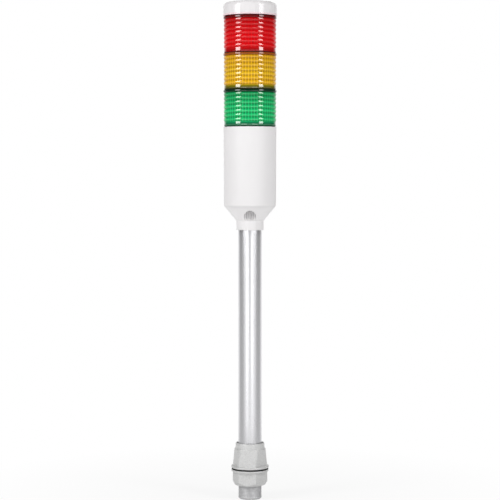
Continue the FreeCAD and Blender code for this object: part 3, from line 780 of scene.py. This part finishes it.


# Tones from a lens's bottom to its top: share of the height, and colour. The darker tones at the
# foot and at the lip are painted shade near the joints between tiers.
lensTonesAndShade = {
    "green": [
        (0.0, (0.006, 0.10, 0.040)), (0.09, (0.006, 0.24, 0.090)), (0.14, (0.016, 0.66, 0.20)),
        (0.45, (0.018, 0.74, 0.225)), (0.90, (0.010, 0.42, 0.120)), (0.95, (0.001, 0.03, 0.010)),
    ],
    "amber": [
        (0.0, (0.010, 0.025, 0.001)), (0.09, (0.26, 0.22, 0.006)), (0.14, (1.00, 0.55, 0.014)),
        (0.45, (1.00, 0.62, 0.020)), (0.90, (0.88, 0.46, 0.010)), (0.95, (0.34, 0.080, 0.006)),
    ],
    "red": [
        (0.0, (0.24, 0.003, 0.003)), (0.09, (0.56, 0.004, 0.006)), (0.14, (0.80, 0.003, 0.006)),
        (0.45, (0.84, 0.003, 0.007)), (0.90, (0.54, 0.002, 0.004)), (0.95, (0.14, 0.0005, 0.001)),
    ],
}
# coatValley, coatCrest and coatLip are the coat's weight there, coatLift moves its crest up by
# that angle of a ring's wave, and coatStart is where it starts above the tier's foot.
lensGloss = {
    "roughness": 0.25, "ior": 1.5, "specular": 0.02, "transmission": 0.05,
    "coatIor": 1.92, "coatRoughness": 0.05, "coatValley": 0.2, "coatCrest": 0.85,
    "coatLift": 0.7, "coatLip": 0.5, "coatStart": 0.8,
}
# The tone of the dots where two valleys cross, and how far they go towards it: painted shade for
# light bent by the rings and the inner flutes.
lensDotShade = {
    "green": ((0.002, 0.10, 0.03), 0.9),
    "amber": ((0.26, 0.10, 0.001), 0.85),
    "red": ((0.30, 0.0, 0.001), 0.5),
}


# Dyed plastic, nearly opaque. Its tone goes with the height in the tier, darker at the foot and
# the lip as painted shade near the joints. It is darker where a valley between two rings crosses
# the gap between two flutes, by the weighted sum of both cosines and their product, so that
# bright and dark dots stand in a net; that net is painted shade for light bent by the rings and
# the inner flutes. Its coat is gloss that grows with the square of the cosine from valley to
# crest, and is off at the tier's foot.
def makeLensFinish(colour):
    f = Finish(f"dyed_{colour}")
    low, high = boxOf(f"lens_{colour}")
    top = high[2] - lens["spigotHeight"]
    ringLow, ringHigh = low[2] + lens["rimHeight"], top - lens["lipHeight"]
    pitch = (ringHigh - ringLow) / lens["rings"]
    gloss = lensGloss
    x, y, z = f.axes()
    turn = y.operate("ARCTAN2", y, x)
    flute = (turn * lens["flutes"]).cosine() * 0.5 + 0.5
    wave = (z - ringLow) * (2 * math.pi / pitch)
    ring = wave.cosine() * 0.5 + 0.5
    below = z.operate("LESS_THAN", z, ringLow)
    glossy = z.operate("GREATER_THAN", z, low[2] + gloss["coatStart"])
    above = z.operate("GREATER_THAN", z, ringHigh)
    onRings = 1 - below - above
    # painted shade: dark dots where ring valleys cross the gaps between flutes
    shade = (ring * 0.25 + flute * 0.3 + ring * flute * 0.45) * onRings
    share = (z - low[2]) / (top - low[2])
    # tone by height, darker at the foot and the lip as painted shade near the joints
    shadedTone = f.node("ShaderNodeValToRGB", {"stops": lensTonesAndShade[colour]}, Fac=share)
    dotShade, contrast = lensDotShade[colour]
    base = f.mix((shade * contrast + (f.noise(6) - 0.5) * 0.1).clamp(), shadedTone, dotShade)
    lifted = 0.5 - (wave - gloss["coatLift"]).cosine() * 0.5
    crest = lifted * lifted * (gloss["coatCrest"] - gloss["coatValley"]) + gloss["coatValley"]
    return f.finish(
        BaseColor=base, Roughness=gloss["roughness"], IOR=gloss["ior"],
        TransmissionWeight=gloss["transmission"],
        CoatWeight=onRings * crest + below * glossy + above * gloss["coatLip"],
        CoatRoughness=gloss["coatRoughness"], CoatIOR=gloss["coatIor"],
        SpecularIORLevel=gloss["specular"],
    )


# Drawn aluminium: streaks along the tube in tone, gloss and surface.
def makePoleFinish():
    f = Finish("drawn_aluminium")
    streak = f.noise(0.35, 3, (1, 1, 120))
    broad = f.noise(14, 2, (1, 1, 6))
    colour = f.mix(streak * 0.5 + broad * 0.5, (0.80, 0.80, 0.82), (0.88, 0.88, 0.90))
    return f.finish(
        BaseColor=colour, Metallic=1.0, Roughness=0.28 + (streak - 0.5) * 0.12,
        Normal=f.bump(streak, 0.000006),
    )


# Sand-cast metal: grains in tone and surface; the stub is smoother and a little darker.
def makeCastFinish(name, stubRadius):
    f = Finish(name)
    x, y, z = f.axes()
    grain, patch = f.noise(0.9, 3), f.noise(5, 2)
    far = x.operate("SQRT", x * x + y * y)
    turned = far.operate("LESS_THAN", far, stubRadius) * z.operate("LESS_THAN", z, 1.0)
    speck = (grain - 0.5) * 2.2 + 0.5
    colour = f.mix(speck * 0.7 + patch * 0.3, (0.60, 0.60, 0.60), (0.90, 0.90, 0.89))
    colour = f.mix(turned, colour, (0.60, 0.60, 0.61))
    return f.finish(
        BaseColor=colour, Metallic=0.35, Roughness=0.5 + (grain - 0.5) * 0.2,
        Normal=f.bump(grain * (1 - turned * 0.7), 0.00012),
    )


# A plain small part: two tones by noise, with a matching grain in gloss and surface.
def makeGrained(name, first, paintedLight, grain, roughness, metallic=0.0):
    f = Finish(name)
    speck = f.noise(grain, 3)
    return f.finish(
        BaseColor=f.mix(speck, first, paintedLight), Metallic=metallic,
        Roughness=roughness + (speck - 0.5) * 0.15, Normal=f.bump(speck, 0.00001),
    )


# A circuit board: solder mask with paler lines of copper under it.
def makeBoardFinish():
    f = Finish("circuit_board")
    x, y, z = f.axes()
    lines = ((z + f.noise(3) * 2) * 4.2).cosine()
    copper = lines.operate("GREATER_THAN", lines, 0.55)
    colour = f.mix(copper, (0.012, 0.10, 0.045), (0.03, 0.20, 0.09))
    return f.finish(
        BaseColor=colour, Roughness=0.35 - copper * 0.08, Normal=f.bump(copper, 0.00002)
    )


capLow = boxOf("head_cap")[0][2]
coneLow = boxOf("main_housing")[0][2] + housing["neckHeight"]
# The cap's painted light is a pink painted reflection at its foot, next to the red lens.
capFinish = makePlastic(
    "gloss_white", (0.84, 0.82, 0.83), (0.80, 0.78, 0.79), 0.14,
    (0.90, 0.66, 0.70), (capLow - 5, capLow + 2.5), 2.0,
)
# The housing's painted light is a paler tone on the cone that faces the floor: painted bounce
# light from the floor.
housingFinish = makePlastic(
    "satin_white", (0.86, 0.845, 0.85), (0.83, 0.815, 0.82), 0.5,
    (0.95, 0.935, 0.94), (coneLow - 1, coneLow + housing["coneHeight"]), 3.0,
)
castFinish = makeCastFinish("sand_cast", foot["stubRadius"] + foot["stubMargin"])
rubberFinish = makeGrained("black_rubber", (0.006, 0.006, 0.006), (0.016, 0.016, 0.016), 0.6, 0.8)
finishes = {
    "housing_plastic": housingFinish,
    "cast_metal": castFinish,
    "rubber": rubberFinish,
    "pole_metal": makePoleFinish(),
    "screw_steel": makeGrained(
        "turned_steel", (0.25, 0.25, 0.26), (0.42, 0.42, 0.43), 0.3, 0.35, metallic=1.0
    ),
    "carrier_plastic": makeGrained(
        "pale_plastic", (0.80, 0.80, 0.78), (0.88, 0.88, 0.86), 1.2, 0.5
    ),
    "circuit_board": makeBoardFinish(),
    "diode": makeGrained("diode_gel", (0.85, 0.78, 0.42), (0.95, 0.92, 0.75), 1.5, 0.3),
    "contact_brass": makeGrained(
        "stamped_brass", (0.72, 0.50, 0.20), (0.85, 0.64, 0.30), 0.5, 0.3, metallic=1.0
    ),
    "black_plastic": makeGrained(
        "black_plastic", (0.015, 0.015, 0.015), (0.03, 0.03, 0.03), 0.8, 0.45
    ),
    "terminal_plastic": makeGrained(
        "terminal_plastic", (0.05, 0.22, 0.10), (0.08, 0.28, 0.13), 0.8, 0.45
    ),
}
for colour in tierColours:
    lenses[colour].data.materials.append(makeLensFinish(colour))
capPiece.data.materials.append(capFinish)
housingPiece.data.materials.append(housingFinish)
polePiece.data.materials.append(finishes["pole_metal"])
gasketPiece.data.materials.append(rubberFinish)
for piece in (footPiece, washerPiece, nutPiece):
    piece.data.materials.append(castFinish)

slotOf = {row["node"]: row["material_slot"] for row in frame["record"]["subparts"]}
for name, node in nodes.items():
    if slotOf[name] in finishes:
        for place in node.material_slots:
            place.material = finishes[slotOf[name]]
print("finishes made:", len(bpy.data.materials))


# ---- floor, light and camera

# glow: how white a camera ray sees the floor. wedge: where a mirrored ray sees it white, and
# mirrorLeast its level elsewhere. ambient: the world's own light. front, shown: what a mirrored
# ray sees of the world before and behind the object, which parts at backStart.
studio = {
    "floorDrop": 0.0004,
    "floorSize": 40.0,
    "floorColour": (0.88, 0.88, 0.88, 1.0),
    "glowLeast": 0.84,
    "glowGain": 0.45,
    "nearEnd": 0.08,
    "farGain": 5.0,
    "wedgeSpread": 1.6,
    "wedgeStart": 0.3,
    "wedgeGain": 1.5,
    "mirrorLeast": 0.54,
    "ambient": 0.31,
    "front": 0.02,
    "shown": 1.0,
    "backStart": 0.65,
    "backGain": 4.0,
}
# Two tall strip lights at the sides and two low ones near the foot: degrees round the axis
# from the front, then distance, width, height and middle in metres, and level.
strips = {
    "left": {
        "angle": -55.0, "distance": 1.3, "width": 0.50, "height": 1.3, "middle": 1.05,
        "level": 6.5,
    },
    "right": {
        "angle": 50.0, "distance": 1.3, "width": 0.42, "height": 1.3, "middle": 1.05,
        "level": 6.3,
    },
    "lowLeft": {
        "angle": -26.0, "distance": 1.0, "width": 0.42, "height": 0.40, "middle": 0.18,
        "level": 1.15,
    },
    "lowRight": {
        "angle": 21.0, "distance": 1.0, "width": 0.42, "height": 0.40, "middle": 0.18,
        "level": 1.0,
    },
}


# Two signals: 1 for a camera ray, and 1 for a ray in a mirror or through glass.
# Both are 0 for the rays that only carry light.
def shownRays(tree):
    path = addNode(tree, "ShaderNodeLightPath")
    outputs = path.socket.node.outputs
    names = ("Is Camera Ray", "Is Glossy Ray", "Is Transmission Ray")
    straight, mirrored, passed = [Signal(tree, outputs[name]) for name in names]
    return straight, (mirrored + passed).clamp()


# A signal without its sign.
def size(signal):
    return signal.operate("ABSOLUTE", signal)


# A matte sheet that keeps the shadow. A camera ray sees it go to white with the distance from
# the axis. A mirrored ray sees it white where its distance to the side is less than its distance
# before or behind times wedgeSpread plus wedgeStart, and dimmer elsewhere and near the foot.
def makeFloor():
    half = studio["floorSize"] / 2
    level = frameBox[0][2] - studio["floorDrop"]
    mesh = bpy.data.meshes.new("studio_floor")
    corners = [(x * half, y * half, level) for x, y in ((-1, -1), (1, -1), (1, 1), (-1, 1))]
    mesh.from_pydata(corners, [], [(0, 1, 2, 3)])
    floor = bpy.data.objects.new("studio_floor", mesh)
    bpy.context.collection.objects.link(floor)
    material = bpy.data.materials.new("pale_floor")
    material.use_nodes = True
    tree = material.node_tree
    tree.nodes.clear()
    matte = addNode(tree, "ShaderNodeBsdfDiffuse", Color=studio["floorColour"])
    place = addNode(tree, "ShaderNodeTexCoord", output="Object")
    parts = addNode(tree, "ShaderNodeSeparateXYZ", Vector=place).socket.node.outputs
    across, along = Signal(tree, parts["X"]), Signal(tree, parts["Y"])
    distance = along.operate("SQRT", across * across + along * along)
    white = (distance * studio["glowGain"] + studio["glowLeast"]).clamp()
    far = ((size(along) - studio["nearEnd"]) * studio["farGain"]).clamp()
    beside = size(along) * studio["wedgeSpread"] + studio["wedgeStart"] - size(across)
    wedge = (beside * studio["wedgeGain"]).clamp() * far
    straight, mirrored = shownRays(tree)
    dimming = mirrored * (1 - wedge) * (1 - studio["mirrorLeast"])
    glow = addNode(tree, "ShaderNodeEmission", Color=(1, 1, 1, 1), Strength=1 - dimming)
    share = straight * white + mirrored
    both = addNode(tree, "ShaderNodeMixShader", i0=share, i1=matte, i2=glow)
    addNode(tree, "ShaderNodeOutputMaterial", Surface=both)
    mesh.materials.append(material)


# The world gives its ambient level as light, and is white to a camera ray. A mirrored ray sees
# it white behind the object, past backStart along Y, and nearly black in front.
def makeWorld():
    world = bpy.data.worlds.new("studio_world")
    bpy.context.scene.world = world
    world.use_nodes = True
    tree = world.node_tree
    tree.nodes.clear()
    direction = Signal(tree, addNode(tree, "ShaderNodeTexCoord").socket.node.outputs["Generated"])
    parts = addNode(tree, "ShaderNodeSeparateXYZ", Vector=direction).socket.node.outputs
    behind = ((Signal(tree, parts["Y"]) - studio["backStart"]) * studio["backGain"]).clamp()
    seen = behind * (studio["shown"] - studio["front"]) + studio["front"]
    straight, mirrored = shownRays(tree)
    ambient = studio["ambient"]
    strength = straight * (studio["shown"] - ambient) + mirrored * (seen - ambient) + ambient
    sky = addNode(tree, "ShaderNodeBackground", Color=(1, 1, 1, 1), Strength=strength)
    addNode(tree, "ShaderNodeOutputWorld", Surface=sky)


# A strip light turned to the axis. Its power is its level times pi times its area.
def makeStrip(side):
    strip = strips[side]
    lamp = bpy.data.lights.new(f"strip_{side}", "AREA")
    lamp.shape = "RECTANGLE"
    lamp.size, lamp.size_y = strip["width"], strip["height"]
    lamp.energy = strip["level"] * math.pi * strip["width"] * strip["height"]
    turn = math.radians(strip["angle"])
    away = strip["distance"]
    holder = bpy.data.objects.new(lamp.name, lamp)
    holder.location = (away * math.sin(turn), -away * math.cos(turn), strip["middle"])
    holder.rotation_euler = (math.pi / 2, 0, turn)
    bpy.context.collection.objects.link(holder)


camera = {
    "focal": 121.0, "sensor": 36.0, "distance": 1.8, "height": 0.32, "pitch": 2.665,
    "near": 0.05, "far": 50,
}


# The camera in front, tipped down from level by its pitch in degrees.
def makeCamera():
    data = bpy.data.cameras.new("front_camera")
    data.lens, data.sensor_width = camera["focal"], camera["sensor"]
    data.clip_start, data.clip_end = camera["near"], camera["far"]
    holder = bpy.data.objects.new("front_camera", data)
    holder.location = (0, -camera["distance"], camera["height"])
    holder.rotation_euler = (math.radians(90 - camera["pitch"]), 0, 0)
    bpy.context.collection.objects.link(holder)
    bpy.context.scene.camera = holder


makeFloor()
makeWorld()
for side in strips:
    makeStrip(side)
makeCamera()
bpy.context.scene.view_settings.view_transform = "Standard"
print("studio made")
